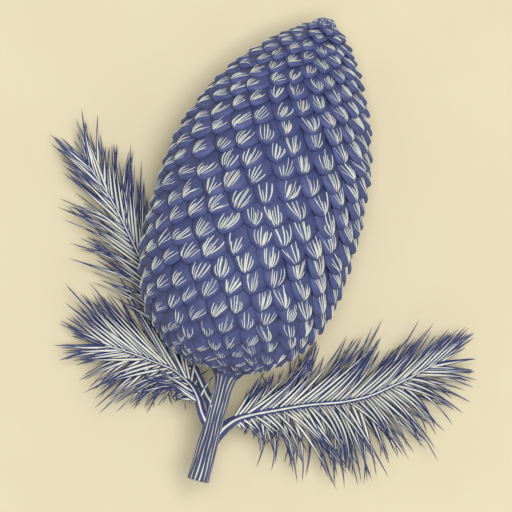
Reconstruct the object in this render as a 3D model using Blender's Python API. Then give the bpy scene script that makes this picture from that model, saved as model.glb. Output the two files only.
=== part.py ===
"""A cut sprig with one large closed cone and three sprays of needles, lying on a surface.

Metres, with +Z up and the surface at z = 0.  The cone lies on its side and points along +Y,
leaning a little towards +X.  The origin is below the middle of the whole sprig.
"""
from collections import namedtuple
import math
import random

import bmesh
import bpy
from mathutils import Vector

MM = 0.001
GOLDEN_ANGLE = math.pi * (3 - math.sqrt(5))

# The shift that puts the origin below the middle of the sprig
MIDDLE_SHIFT = Vector((1.435, -0.96, 0)) * MM

# The cone's axis runs from its base to its tip
CONE_LEAN = math.radians(15)
CONE_BASE = Vector((-14.2, -43.1, 39.7)) * MM + MIDDLE_SHIFT
CONE_LENGTH = 140 * MM
CONE_RADIUS = 40.8 * MM
WIDEST_AT = 58 * MM
BASE_OVERSHOOT = 2.5 * MM
BASE_POWER = 2.9
TIP_POWER = 2.2
TIP_ROUNDING = 0.78
CONE_BOW = -5 * MM
BOW_POWER = 4

# The scales stand on a spiral, in two families of crossing rows.  Relief, reach and rounding are
# shares of a scale's width, and the depths are shares of the relief.
LEFT_ROW = 13
RIGHT_ROW = 21
ROW_PAIR = LEFT_ROW + RIGHT_ROW
SCALE_HALF_LENGTH = 8.4 * MM
SCALE_SHRINK = 10 * MM
FIRST_SCALE_AT = 0.8 * MM
LAST_SCALE_RADIUS = 2.6 * MM
SCALE_RELIEF = 0.31
LIP_REACH = 0.2
LIP_ROUNDING = 0.34
SIDE_DEPTH = 0.5
BULGE_DEPTH = 0.24
BEND_DEPTH = 0.1
SPIRAL_SUBSTEPS = 6
SEAT_RADIUS = 8.5 * MM
SEAT_OFFSET = -1.5 * MM

# The stem, as distances from the cone's base and radii over its bark ridges
GAP = 0.3 * MM
STEM_LENGTH = 44.7 * MM
STEM_RINGS = ((0.3, 6.7), (1.6, 6.1), (4.2, 4.3), (8.5, 3.65), (20, 3.75), (33, 4.05), (44.7, 4.4))
STEM_SHAFT_FROM = 3
STEM_RIDGES = 9
RIDGE_DEPTH = 0.55 * MM
COLLAR_END = 2 * MM

# Each twig's route in mm, and the angle in degrees between its needles and it, at parts of its length
RIGHT_ROUTE = ((-23.1, -73.4, 40), (-19.4, -70.6, 39), (-15.8, -66.4, 37), (-8.9, -62.4, 32),
               (6.2, -59.7, 22), (17.3, -58.1, 17), (30.4, -57, 15), (40.8, -54.7, 14.5),
               (48.9, -51.2, 14.5), (55.8, -47.4, 14.5), (66, -39.9, 14.5))
RIGHT_SWEEP = ((0, 68), (0.6, 66), (0.8, 54), (1, 26))
LOWER_LEFT_ROUTE = ((-22.3, -65.5, 40), (-24.4, -60, 39.5), (-25.8, -55.1, 37.5), (-28, -50.8, 34),
                    (-31.4, -47.4, 29), (-36.2, -43.9, 23), (-44.3, -40.8, 17.5), (-50.4, -38.5, 15.5),
                    (-57.4, -36.2, 14.5), (-62.5, -35.2, 14.5))
LOWER_LEFT_SWEEP = ((0, 54), (0.5, 50), (0.8, 38), (1, 20))
UPPER_LEFT_ROUTE = ((-20.4, -57.6, 40), (-22.6, -53.4, 34.5), (-26.6, -45.4, 25), (-31, -37, 17.5),
                    (-38.5, -21.6, 12), (-47.2, -4.2, 12), (-54.3, 10.8, 13.5), (-60.4, 22.7, 14.5),
                    (-69, 35.5, 14.5))
UPPER_LEFT_SWEEP = ((0, 24), (0.3, 26), (0.5, 33), (0.8, 32), (1, 22))
# Each spray has its twig's radius at the stem and the number of needles that are tried.  Droop and
# shortening are how much more its needles lean back, and how much shorter they are, towards -Y.
Spray = namedtuple("Spray", "name route radius tried sweeps droop shortening seed")
SPRAYS = (
    Spray("spray_right", RIGHT_ROUTE, 2.4 * MM, 200, RIGHT_SWEEP, 0.22, 0.05, 120),
    Spray("spray_lower_left", LOWER_LEFT_ROUTE, 1.8 * MM, 125, LOWER_LEFT_SWEEP, 0.5, 0.25, 101),
    Spray("spray_upper_left", UPPER_LEFT_ROUTE, 1.8 * MM, 155, UPPER_LEFT_SWEEP, 0.5, 0, 102),
)
TWIG_TIP_RADIUS = 0.8 * MM
TWIG_POINT_SPACING = 6 * MM
TWIG_TAPER_POWER = 0.7
ROUTE_STEPS = 8
ROUTE_SKIP = 4
FIRST_NEEDLE_AT = 9 * MM
NEEDLE_LENGTH = 32 * MM
END_LENGTH = 0.55
LENGTH_ARCH = 0.9
LENGTH_SPREAD = (0.84, 1.08)
NEEDLE_RADIUS = 0.85 * MM
NEEDLE_CLEARANCE = 1.2 * MM
CONE_CLEARANCE = 1 * MM
CLEARANCE_STEPS = 8
NEIGHBOUR_CLEARANCE = 1 * MM
ROOT_SHARE = 0.25
NEEDLE_FLATTENING = 0.7
PARTING = math.radians(32)
SWEEP_SPREAD = math.radians(9)
TURN_SPREAD = 0.15
ATTEMPTS = 24
RETRY_TURN = 0.9
RETRY_SLANT = math.radians(1.5)
LEAST_SLANT = math.radians(8)
LOWEST_NEEDLE = 0.15 * MM
SLIVER = 0.0002 * MM

ALONG = Vector((math.sin(CONE_LEAN), math.cos(CONE_LEAN), 0))
ACROSS = Vector((math.cos(CONE_LEAN), -math.sin(CONE_LEAN), 0))
UP = Vector((0, 0, 1))


def clear_scene():
    for item in list(bpy.data.objects):
        bpy.data.objects.remove(item, do_unlink=True)


def new_collection(name):
    collection = bpy.data.collections.new(name)
    bpy.context.scene.collection.children.link(collection)
    return collection


def principled(name, colour, roughness):
    material = bpy.data.materials.new(name)
    material.use_nodes = True
    shader = material.node_tree.nodes["Principled BSDF"]
    shader.inputs["Base Color"].default_value = (*colour, 1)
    shader.inputs["Roughness"].default_value = roughness
    shader.inputs["Metallic"].default_value = 0
    return material


def mesh_object(name, bm, collection, material=None):
    bmesh.ops.recalc_face_normals(bm, faces=bm.faces)
    mesh = bpy.data.meshes.new(name)
    bm.to_mesh(mesh)
    bm.free()
    item = bpy.data.objects.new(name, mesh)
    collection.objects.link(item)
    if material:
        mesh.materials.append(material)
    return item


def apply_boolean(item, operation, solver, other=None, group=None):
    modifier = item.modifiers.new("joined", "BOOLEAN")
    modifier.operation = operation
    modifier.solver = solver
    if group:
        modifier.operand_type = "COLLECTION"
        modifier.collection = group
    else:
        modifier.object = other
    bpy.context.view_layer.update()
    evaluated = item.evaluated_get(bpy.context.evaluated_depsgraph_get())
    mesh = bpy.data.meshes.new_from_object(evaluated)
    item.modifiers.clear()
    item.data = mesh


def keep_main_body(item):
    """Drop what fusing leaves loose or seals inside, so that one closed body stays."""
    bm = bmesh.new()
    bm.from_mesh(item.data)
    unseen = set(bm.verts)
    bodies = []
    while unseen:
        stack = [unseen.pop()]
        body = set(stack)
        while stack:
            for edge in stack.pop().link_edges:
                for vert in edge.verts:
                    if vert in unseen:
                        unseen.remove(vert)
                        body.add(vert)
                        stack.append(vert)
        bodies.append(body)
    bodies.sort(key=len)
    scraps = [vert for body in bodies[:-1] for vert in body]
    bmesh.ops.delete(bm, geom=scraps, context="VERTS")
    bmesh.ops.remove_doubles(bm, verts=bm.verts, dist=SLIVER)
    bmesh.ops.dissolve_degenerate(bm, edges=bm.edges, dist=SLIVER)
    bmesh.ops.triangulate(bm, faces=bm.faces)
    bmesh.ops.dissolve_degenerate(bm, edges=bm.edges, dist=SLIVER)
    bm.to_mesh(item.data)
    bm.free()


def cone_radius(s):
    """The cone's radius over its scales, at the distance s from its base."""
    if s < WIDEST_AT:
        x = (WIDEST_AT - s) / (WIDEST_AT + BASE_OVERSHOOT)
        return CONE_RADIUS * math.sqrt(max(0, 1 - x ** BASE_POWER))
    x = min(1, (s - WIDEST_AT) / (CONE_LENGTH - WIDEST_AT))
    return CONE_RADIUS * (1 - x ** TIP_POWER) ** TIP_ROUNDING


def cone_slope(s):
    step = 0.05 * MM
    return (cone_radius(s + step) - cone_radius(s - step)) / (2 * step)


def cone_bow(s):
    """How far the middle of the cone stands off its axis, towards ACROSS."""
    return CONE_BOW * (1 - (max(0, s) / CONE_LENGTH) ** BOW_POWER)


def cone_point(s, radius, angle):
    return (CONE_BASE + ALONG * s + ACROSS * (cone_bow(s) + radius * math.cos(angle))
            + UP * radius * math.sin(angle))


def scale_stations():
    """Where each scale of the spiral starts along the axis, from the base to the tip."""
    stations = []
    s = FIRST_SCALE_AT
    while s < WIDEST_AT or cone_radius(s) > LAST_SCALE_RADIUS:
        stations.append(s)
        for _ in range(SPIRAL_SUBSTEPS):
            half = SCALE_HALF_LENGTH * (cone_radius(s) + SCALE_SHRINK) / (CONE_RADIUS + SCALE_SHRINK)
            s += 2 * half / ROW_PAIR / SPIRAL_SUBSTEPS / math.hypot(1, cone_slope(s))
    return stations


def relief_point(s, angle, depth, slide):
    """A point sunk below the outline by depth, and slid towards the base, in scale widths."""
    radius = cone_radius(s)
    slope = cone_slope(s)
    width = radius * (row_turn(RIGHT_ROW) - row_turn(LEFT_ROW))
    norm = math.hypot(1, slope)
    sunk = depth * width
    slid = slide * width
    return cone_point(s + (sunk * slope - slid) / norm, radius - (sunk + slid * slope) / norm, angle)


def row_turn(row):
    """The small angle between a scale and the one that is a row number later in the spiral."""
    turn = row * GOLDEN_ANGLE
    return turn - 2 * math.pi * round(turn / (2 * math.pi))


def cone_mesh():
    """A closed skin of diamond scales whose free ends, towards the base, stand out over the next."""
    stations = scale_stations()
    count = len(stations)
    first_open = ROW_PAIR
    last_open = count - ROW_PAIR
    bm = bmesh.new()

    def corner(k, depth, slide):
        return bm.verts.new(relief_point(stations[k], k * GOLDEN_ANGLE, depth * SCALE_RELIEF, slide))

    lips, sides, tops, bulges = [], [], [], []
    for k in range(count):
        if first_open <= k < last_open:
            lips.append(corner(k, 0, LIP_REACH))
            sides.append(corner(k, SIDE_DEPTH, 0))
            tops.append(corner(k, 1, 0))
        else:
            only = corner(k, SIDE_DEPTH, 0)
            lips.append(only)
            sides.append(only)
            tops.append(only)
    for k in range(last_open):
        angle = k * GOLDEN_ANGLE + row_turn(ROW_PAIR) / 2
        middle = (stations[k] + stations[k + ROW_PAIR]) / 2
        bulges.append(bm.verts.new(relief_point(middle, angle, BULGE_DEPTH * SCALE_RELIEF, 0)))

    def add_face(*corners):
        if len(set(corners)) == len(corners):
            bm.faces.new(corners)

    def lower_edge(k, row, other_row):
        """The bent lower edge of a scale on one side, with the step down to the scale below it."""
        if k < other_row:
            return []
        middle = (stations[k] + stations[k + row]) / 2
        angle = k * GOLDEN_ANGLE + row_turn(row) / 2
        bend = bm.verts.new(relief_point(middle, angle, BEND_DEPTH * SCALE_RELIEF, LIP_ROUNDING))
        add_face(lips[k], bend, sides[k])
        add_face(bend, sides[k + row], tops[k + row])
        add_face(bend, tops[k + row], sides[k])
        return [bend]

    for k in range(last_open):
        right = lower_edge(k, RIGHT_ROW, LEFT_ROW)
        left = lower_edge(k, LEFT_ROW, RIGHT_ROW)
        outline = [lips[k], *right, sides[k + RIGHT_ROW], tops[k + ROW_PAIR], sides[k + LEFT_ROW], *left]
        for start, end in zip(outline, outline[1:] + outline[:1]):
            add_face(start, end, bulges[k])

    close_base(bm, sorted(range(first_open), key=round_angle), lips)
    apex = bm.verts.new(cone_point(CONE_LENGTH, 0, 0))
    ring = [tops[k] for k in sorted(range(last_open, count), key=round_angle)]
    for start, end in zip(ring, ring[1:] + ring[:1]):
        add_face(start, end, apex)
    return bm


def round_angle(k):
    """The angle of a scale round the axis, within one turn."""
    return (k * GOLDEN_ANGLE) % (2 * math.pi)


def close_base(bm, order, corners):
    """A flat disc inside the lowest scales, where the stem's collar sits."""
    centre = CONE_BASE + ACROSS * SEAT_OFFSET
    disc = []
    for k in order:
        angle = k * GOLDEN_ANGLE
        disc.append(bm.verts.new(centre + (ACROSS * math.cos(angle) + UP * math.sin(angle)) * SEAT_RADIUS))
    for i in range(len(order)):
        j = (i + 1) % len(order)
        bm.faces.new((corners[order[i]], corners[order[j]], disc[j]))
        bm.faces.new((corners[order[i]], disc[j], disc[i]))
    bm.faces.new(disc)


def build_cone(collection, cutters):
    cone = mesh_object("cone", cone_mesh(), collection, principled("cone", (0.095, 0.112, 0.21), 0.6))
    bm = bmesh.new()
    bmesh.ops.create_cube(bm, size=2 * CONE_LENGTH)
    floor = mesh_object("floor_cutter", bm, cutters)
    floor.location = (0, 0, -CONE_LENGTH)
    floor.display_type = "WIRE"
    floor.hide_render = True
    apply_boolean(cone, "DIFFERENCE", "EXACT", other=floor)
    cone.data.shade_smooth()
    cone.data.set_sharp_from_angle(angle=math.radians(35))
    return cone


def stem_centre(distance):
    return CONE_BASE - ALONG * distance


def stem_mesh():
    """A tapering rod with lengthwise bark ridges, which flares to a round collar under the cone."""
    bm = bmesh.new()
    sides = 2 * STEM_RIDGES
    rings = []
    for distance, radius in STEM_RINGS:
        ring = []
        for i in range(sides):
            angle = 2 * math.pi * i / sides
            groove = RIDGE_DEPTH if i % 2 and distance * MM > COLLAR_END else 0
            outward = ACROSS * math.cos(angle) + UP * math.sin(angle)
            ring.append(bm.verts.new(stem_centre(distance * MM) + outward * (radius * MM - groove)))
        rings.append(ring)
    for upper, lower in zip(rings, rings[1:]):
        for i in range(sides):
            j = (i + 1) % sides
            bm.faces.new((upper[i], upper[j], lower[j], lower[i]))
    bm.faces.new(rings[0])
    bm.faces.new(rings[-1])
    return bm


def build_stem(collection):
    return mesh_object("stem", stem_mesh(), collection, principled("stem", (0.11, 0.12, 0.2), 0.75))


def build_stem_cutter(cutters):
    """The stem's space with a small gap round it, where each twig's root ends."""
    bm = bmesh.new()
    shaft_top, shaft_radius = STEM_RINGS[STEM_SHAFT_FROM]
    wide = STEM_RINGS[-1][1] * MM + GAP
    narrow = shaft_radius * MM + GAP
    length = STEM_LENGTH - shaft_top * MM
    bmesh.ops.create_cone(bm, segments=24, radius1=wide, radius2=narrow, depth=length, cap_ends=True)
    cutter = mesh_object("stem_cutter", bm, cutters)
    cutter.rotation_mode = "QUATERNION"
    cutter.rotation_quaternion = ALONG.to_track_quat("Z", "Y")
    cutter.location = stem_centre(STEM_LENGTH - length / 2)
    cutter.display_type = "WIRE"
    cutter.hide_render = True
    return cutter


def smooth_route(points):
    """Evenly spaced points on a smooth curve through the route's own points."""
    knots = [Vector(p) * MM + MIDDLE_SHIFT for p in points]
    knots = [2 * knots[0] - knots[1]] + knots + [2 * knots[-1] - knots[-2]]
    fine = []
    for a, b, c, d in zip(knots, knots[1:], knots[2:], knots[3:]):
        for i in range(ROUTE_STEPS):
            t = i / ROUTE_STEPS
            fine.append(0.5 * (2 * b + (c - a) * t + (2 * a - 5 * b + 4 * c - d) * t ** 2
                               + (3 * b - a - 3 * c + d) * t ** 3))
    fine.append(knots[-2])
    return fine


def route_lengths(route):
    lengths = [0]
    for a, b in zip(route, route[1:]):
        lengths.append(lengths[-1] + (b - a).length)
    return lengths


def route_at(route, lengths, distance):
    """The point and the direction at a distance along the route."""
    i = 1
    while i < len(route) - 1 and lengths[i] < distance:
        i += 1
    part = (distance - lengths[i - 1]) / (lengths[i] - lengths[i - 1])
    return route[i - 1].lerp(route[i], part), (route[i] - route[i - 1]).normalized()


def build_twig(name, route, lengths, radius, collection, material):
    """A tapering tube along the route, as a closed mesh."""
    curve = bpy.data.curves.new(name, "CURVE")
    curve.dimensions = "3D"
    curve.bevel_depth = radius
    curve.bevel_resolution = 1
    curve.use_fill_caps = True
    curve.render_resolution_u = 0
    steps = round(lengths[-1] / TWIG_POINT_SPACING)
    spline = curve.splines.new("POLY")
    spline.points.add(steps)
    for i, point in enumerate(spline.points):
        place, _ = route_at(route, lengths, lengths[-1] * i / steps)
        point.co = (*place, 1)
        point.radius = 1 + (TWIG_TIP_RADIUS / radius - 1) * (i / steps) ** TWIG_TAPER_POWER
    tube = bpy.data.objects.new(name + "_curve", curve)
    collection.objects.link(tube)
    bpy.context.view_layer.update()
    mesh = bpy.data.meshes.new_from_object(tube.evaluated_get(bpy.context.evaluated_depsgraph_get()))
    bpy.data.objects.remove(tube, do_unlink=True)
    bm = bmesh.new()
    bm.from_mesh(mesh)
    bmesh.ops.remove_doubles(bm, verts=bm.verts, dist=0.01 * MM)
    return mesh_object(name, bm, collection, material)


def segment_gap(a, b, c, d):
    """The smallest distance between the segments a-b and c-d."""
    u, v, w = b - a, d - c, a - c
    uu, uv, vv, uw, vw = u.dot(u), u.dot(v), v.dot(v), u.dot(w), v.dot(w)
    spread = uu * vv - uv * uv
    s = min(1, max(0, (uv * vw - vv * uw) / spread)) if spread > 1e-16 else 0
    t = min(1, max(0, (uv * s + vw) / vv))
    s = min(1, max(0, (uv * t - uw) / uu))
    return (a + u * s - c - v * t).length


def clear_of_cone(root, tip):
    """Whether a straight needle stays outside the cone's outline."""
    for i in range(1, CLEARANCE_STEPS + 1):
        offset = root.lerp(tip, i / CLEARANCE_STEPS) - CONE_BASE
        s = offset.dot(ALONG)
        if not -CONE_CLEARANCE < s < CONE_LENGTH + CONE_CLEARANCE:
            continue
        reach = math.hypot(offset.dot(ACROSS) - cone_bow(s), offset.z)
        if reach < cone_radius(min(CONE_LENGTH, max(s, FIRST_SCALE_AT))) + CONE_CLEARANCE:
            return False
    return True


def clear_of_all(root, tip, obstacles, neighbours):
    """Whether a needle stays clear of the rest, and beyond its root of its own spray's needles."""
    for start, end, radius in obstacles:
        if segment_gap(root, tip, start, end) < radius + NEEDLE_CLEARANCE:
            return False
    outer = root.lerp(tip, ROOT_SHARE)
    for start, end in neighbours:
        if segment_gap(outer, tip, start.lerp(end, ROOT_SHARE), end) < NEIGHBOUR_CLEARANCE:
            return False
    return clear_of_cone(root, tip)


def sweep_at(sweeps, part):
    for (start, first), (end, last) in zip(sweeps, sweeps[1:]):
        if part <= end:
            return math.radians(first + (last - first) * (part - start) / (end - start))


def parted(turn):
    """The turn about the twig, opened out on its upper side so that the twig shows."""
    lean = (turn + math.pi / 2) % (2 * math.pi) - math.pi
    if abs(lean) < math.pi / 2:
        lean = math.copysign(PARTING + abs(lean) * (1 - 2 * PARTING / math.pi), lean)
    return lean + math.pi / 2


def needle_segments(spray, route, lengths, obstacles):
    """Roots and tips of one spray's needles, swept forward all round the twig."""
    rng = random.Random(spray.seed)
    needles = []
    for i in range(spray.tried):
        part = i / (spray.tried - 1)
        distance = FIRST_NEEDLE_AT + (lengths[-1] - FIRST_NEEDLE_AT) * part
        root, forward = route_at(route, lengths, distance)
        side = forward.cross(UP).normalized()
        above = side.cross(forward)
        longer = math.sin(math.pi * (1 + (part - 1) * LENGTH_ARCH))
        full = NEEDLE_LENGTH * (END_LENGTH + (1 - END_LENGTH) * longer) * rng.uniform(*LENGTH_SPREAD)
        sweep = sweep_at(spray.sweeps, part) + rng.uniform(-SWEEP_SPREAD, SWEEP_SPREAD)
        turn = i * GOLDEN_ANGLE + rng.uniform(-TURN_SPREAD, TURN_SPREAD)
        for attempt in range(ATTEMPTS):
            spread = parted(turn + attempt * RETRY_TURN)
            outward = (side * math.cos(spread) + above * math.sin(spread) * NEEDLE_FLATTENING).normalized()
            slant = max(LEAST_SLANT, sweep * (1 - spray.droop * outward.y) - attempt * RETRY_SLANT)
            length = full * (1 + spray.shortening * outward.y)
            heading = forward * math.cos(slant) + outward * math.sin(slant)
            lowest = (LOWEST_NEEDLE - root.z) / length
            if heading.z < lowest:
                flat = Vector((heading.x, heading.y, 0)).normalized()
                heading = flat * math.sqrt(1 - lowest ** 2) + UP * lowest
            tip = root + heading * length
            if clear_of_all(root, tip, obstacles, needles):
                needles.append((root, tip))
                break
    return needles


def needle_object(name, root, tip, collection):
    """One three-sided needle, pointed at its tip and sunk to the middle of its twig."""
    heading = tip - root
    bm = bmesh.new()
    bmesh.ops.create_cone(bm, segments=3, radius1=NEEDLE_RADIUS, radius2=0, depth=heading.length,
                          cap_ends=True)
    bmesh.ops.remove_doubles(bm, verts=bm.verts, dist=0.001 * MM)
    item = mesh_object(name, bm, collection)
    item.rotation_mode = "QUATERNION"
    item.rotation_quaternion = heading.to_track_quat("Z", "Y")
    item.location = (root + tip) / 2
    return item


def build_sprays(collection, cutters):
    material = principled("needles", (0.09, 0.13, 0.25), 0.5)
    stem_cutter = build_stem_cutter(cutters)
    routes = {}
    for spray in SPRAYS:
        route = smooth_route(spray.route)
        routes[spray.name] = (route, route_lengths(route))
    stem_line = (stem_centre(0), stem_centre(STEM_LENGTH), STEM_RINGS[-1][1] * MM)
    placed = {}
    for spray in SPRAYS:
        obstacles = [stem_line]
        for other in SPRAYS:
            if other != spray:
                coarse = routes[other.name][0][::ROUTE_SKIP]
                obstacles += [(a, b, other.radius) for a, b in zip(coarse, coarse[1:])]
        for needles in placed.values():
            obstacles += [(a, b, NEEDLE_RADIUS) for a, b in needles]
        placed[spray.name] = needle_segments(spray, *routes[spray.name], obstacles)
    for spray in SPRAYS:
        twig = build_twig(spray.name, *routes[spray.name], spray.radius, collection, material)
        group = new_collection(spray.name + "_needles")
        for i, (root, tip) in enumerate(placed[spray.name]):
            needle_object(f"needle_{i}", root, tip, group)
        apply_boolean(twig, "UNION", "MANIFOLD", group=group)
        for item in list(group.objects):
            bpy.data.objects.remove(item, do_unlink=True)
        bpy.data.collections.remove(group)
        apply_boolean(twig, "DIFFERENCE", "EXACT", other=stem_cutter)
        keep_main_body(twig)
        twig.data.shade_smooth()
        twig.data.set_sharp_from_angle(angle=math.radians(40))


def main():
    clear_scene()
    sprig = new_collection("cone_sprig")
    cutters = new_collection("cutters")
    build_cone(sprig, cutters)
    build_stem(sprig)
    build_sprays(sprig, cutters)


main()
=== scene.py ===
"""The looks of a cut sprig with one large closed cone: fine scales with fibres, needles and bark."""

from collections import namedtuple
import math
import random

import bpy
import numpy as np
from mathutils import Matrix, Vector


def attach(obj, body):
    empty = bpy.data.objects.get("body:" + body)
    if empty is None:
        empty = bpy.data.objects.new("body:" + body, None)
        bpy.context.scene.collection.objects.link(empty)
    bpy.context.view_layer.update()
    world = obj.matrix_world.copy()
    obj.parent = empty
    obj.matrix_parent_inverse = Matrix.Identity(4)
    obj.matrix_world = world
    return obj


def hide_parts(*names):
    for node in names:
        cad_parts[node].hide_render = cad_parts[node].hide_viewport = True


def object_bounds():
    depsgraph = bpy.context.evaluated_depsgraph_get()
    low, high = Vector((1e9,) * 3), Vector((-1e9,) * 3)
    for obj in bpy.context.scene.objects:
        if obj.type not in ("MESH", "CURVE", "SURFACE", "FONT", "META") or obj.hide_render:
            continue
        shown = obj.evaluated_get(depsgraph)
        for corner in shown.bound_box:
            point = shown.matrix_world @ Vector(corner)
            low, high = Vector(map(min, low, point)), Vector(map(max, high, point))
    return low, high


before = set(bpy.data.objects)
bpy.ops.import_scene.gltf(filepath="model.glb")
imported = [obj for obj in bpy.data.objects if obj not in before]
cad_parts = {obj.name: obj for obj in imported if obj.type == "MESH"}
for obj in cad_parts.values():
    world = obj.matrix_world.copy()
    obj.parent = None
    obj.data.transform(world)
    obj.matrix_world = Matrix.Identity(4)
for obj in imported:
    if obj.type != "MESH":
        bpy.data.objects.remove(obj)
CAD_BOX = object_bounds()

MM = 0.001
GOLDEN_ANGLE = math.pi * (3 - math.sqrt(5))
# No point of a piece lies lower than this
LOWEST = 0.05 * MM

# The sprig's layout, as the solids have it, apart from a fuller tip that leans a little further
MIDDLE_SHIFT = np.array((1.435, -0.96, 0)) * MM
CONE_LEAN = math.radians(15)
CONE_BASE = np.array((-14.2, -43.1, 39.7)) * MM + MIDDLE_SHIFT
CONE_LENGTH = 140 * MM
CONE_RADIUS = 40.8 * MM
WIDEST_AT = 58 * MM
BASE_OVERSHOOT = 2.5 * MM
BASE_POWER = 2.9
TIP_POWER = 2.2
TIP_ROUNDING = 0.75
CONE_BOW = -5 * MM
BOW_POWER = 4
TIP_LEAN = 2.3 * MM
TIP_LEAN_POWER = 10
ALONG = np.array((math.sin(CONE_LEAN), math.cos(CONE_LEAN), 0))
ACROSS = np.array((math.cos(CONE_LEAN), -math.sin(CONE_LEAN), 0))
UP = np.array((0.0, 0.0, 1.0))

# The scales: the surface that each covers, and its sizes at the widest part of the cone
CONE_SEED = 7
SCALE_AREA = 78 * MM ** 2
SCALE_SHRINK = 27 * MM
FIRST_SCALE_AT = -1.35 * MM
LAST_SCALE_RADIUS = 3 * MM
STEEPEST = -1.5
SCALE_HALF_WIDTH = 6.2 * MM
SCALE_LENGTH = 18.5 * MM
FREE_LENGTH = 7.9 * MM
SCALE_DROP = 6.2 * MM
SCALE_DOME = 2.1 * MM
SCALE_LIFT = 1.1 * MM
SCALE_HOOK = 2.1 * MM
HOOK_SHARE = 0.22
SCALE_THICKNESS = 2.4 * MM
EDGE_THINNING = 0.6
ROOT_THINNING = 0.4
DOME_FADE = 0.4
SCALE_WIDTHS = (0.9, 1.08)
SCALE_SIZES = (0.94, 1.09)
YAW_SPREAD = 0.24
YAW_INWARD = 0.14
INWARD_GAIN = 3
PITCH_SPREAD = 0.05
SHIFT_SPREAD = 0.8 * MM
SCALE_ROWS = 10
SCALE_COLUMNS = 7
ROW_POWER = 1.6
SCALE_TONES = (0.85, 1.0)
# Painted shade: a scale's blue darkens towards its hidden root, and its underside takes this share of
# that tone
UNDERSIDE_PAINTED_SHADE = 0.4

# A scale's outline, in shares of its length and half width
ROUND_LENGTH = 0.5
ROUND_POWERS = (2.1, 0.72)
LEAST_OUTLINE = 0.1
ROOT_FROM = 0.55
ROOT_LENGTH = 0.45
ROOT_NARROWING = 0.35

# The closed body under the scales, in the darkest blue as painted shade between them
CORE_SIDES = 48
CORE_RINGS = 44
CORE_START = -1.6 * MM
CORE_SHORTER = 6 * MM
CORE_DEPTH = 3.4 * MM

# The bud that closes the tip
BUD_START = 133 * MM
BUD_RISE = 0.3 * MM
BUD_RADIUS = 5.2 * MM
BUD_RINGS = 14
BUD_SIDES = 40
BUD_LOBES = 7
BUD_LOBE_DEPTH = 0.1
BUD_LOBE_TWIST = 2
BUD_POWER = 2.4
BUD_TONE = 0.8
BUD_FIBRES = 64
BUD_FIBRE_LENGTH = 0.3
BUD_FIBRE_LENGTHS = (0.7, 1.2)
BUD_FIBRE_STARTS = (0.45, 0.92)
BUD_FIBRE_LIMIT = 0.985
BUD_FIBRE_FADE = 1.1
BUD_FIBRE_LEAN = 0.16
BUD_FIBRE_WIDTHS = (0.45, 0.8)
BUD_FIBRE_RISE = 1.4
BUD_FIBRE_ENDS = (0.1, 0.9)

# The raised fibres on each scale: where they start, their length along it and their spread across
# it are shares of its length and half width
FIBRE_COUNTS = (5, 6, 7, 7)
FIBRE_HALF_WIDTH = 0.315 * MM
FIBRE_WIDTHS = (0.6, 1.35)
FIBRE_HEIGHT = 0.11 * MM
FIBRE_SINK = 0.35
FIBRE_POINTS = 7
FIBRE_ENDS = 0.06
FIBRE_SWELL_POWER = 0.55
FIBRE_START = 0.03
FIBRE_START_BOW = 0.06
FIBRE_START_SPREAD = (-0.01, 0.07)
FIBRE_LENGTH = 0.48
FIBRE_LENGTH_BOW = 0.1
FIBRE_LENGTH_SPREAD = (-0.2, 0.04)
FIBRE_FAN = 0.68
FIBRE_FAN_SPREAD = 0.1
FIBRE_CURVE = 0.35
FIBRE_CURVE_SPREAD = 0.12
BASE_FADE = (0, 34 * MM)
LEAST_STRENGTH = 0.4
FIBRE_SKEW = (0.8, 0.2)
# Painted shade: fibres on the cone's -X side are thinner, so that side reads darker
SHADED_SIDE = (-1, -0.35)
SHADED_STRENGTH = 0.66
FIBRE_INWARD = 0.5
FIBRE_EDGE = 0.95
PINCH_LOW = (0.4, 0.75)
PINCH_HIGH = (0.6, 1)

# The stem, as distances from the cone's base and radii, both in mm
STEM_RINGS = ((0.3, 6.7), (1.6, 6.1), (4.2, 4.3), (8.5, 3.65), (20, 3.75), (33, 4.05), (44.7, 4.4))
STEM_RIDGES = 17
RIDGE_DEPTH = 0.55 * MM
RIDGE_POWER = 0.6
COLLAR_RIDGES = 0.3
BARK_SIDES = 160
BARK_RINGS = 60
# Along the stem, in mm: where its ridges grow deep and where their crests turn pale
RIDGES_GROW = (2.5, 7.5)
CRESTS_TURN_PALE = (1, 3.4)
# Waves of the ridges round the stem: size in radians, radians a mm along it and waves round it
RIDGE_WAVES = ((0.06, 0.14, 2), (0.02, 0.47, 1))
# Breaks in a crest: its brightness, their strength, radians a mm and how these differ by ridge
CREST_BREAKS = (0.95, 0.12, 0.21, 0.05)
BREAK_KINDS = 5
BREAK_STEP = 2.3

# The cut end, and the wood's rise over the bark's end with its ripple
CUT_SIDES = 48
CUT_RINGS = 15
CUT_RISE = 0.25 * MM
CUT_RIPPLE = 0.05 * MM
RIPPLE_STEP = 2.1
CUT_OVERLAP = 0.1 * MM
GROWTH_RING_EVERY = 3
DARK_RING = 0.35

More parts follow.
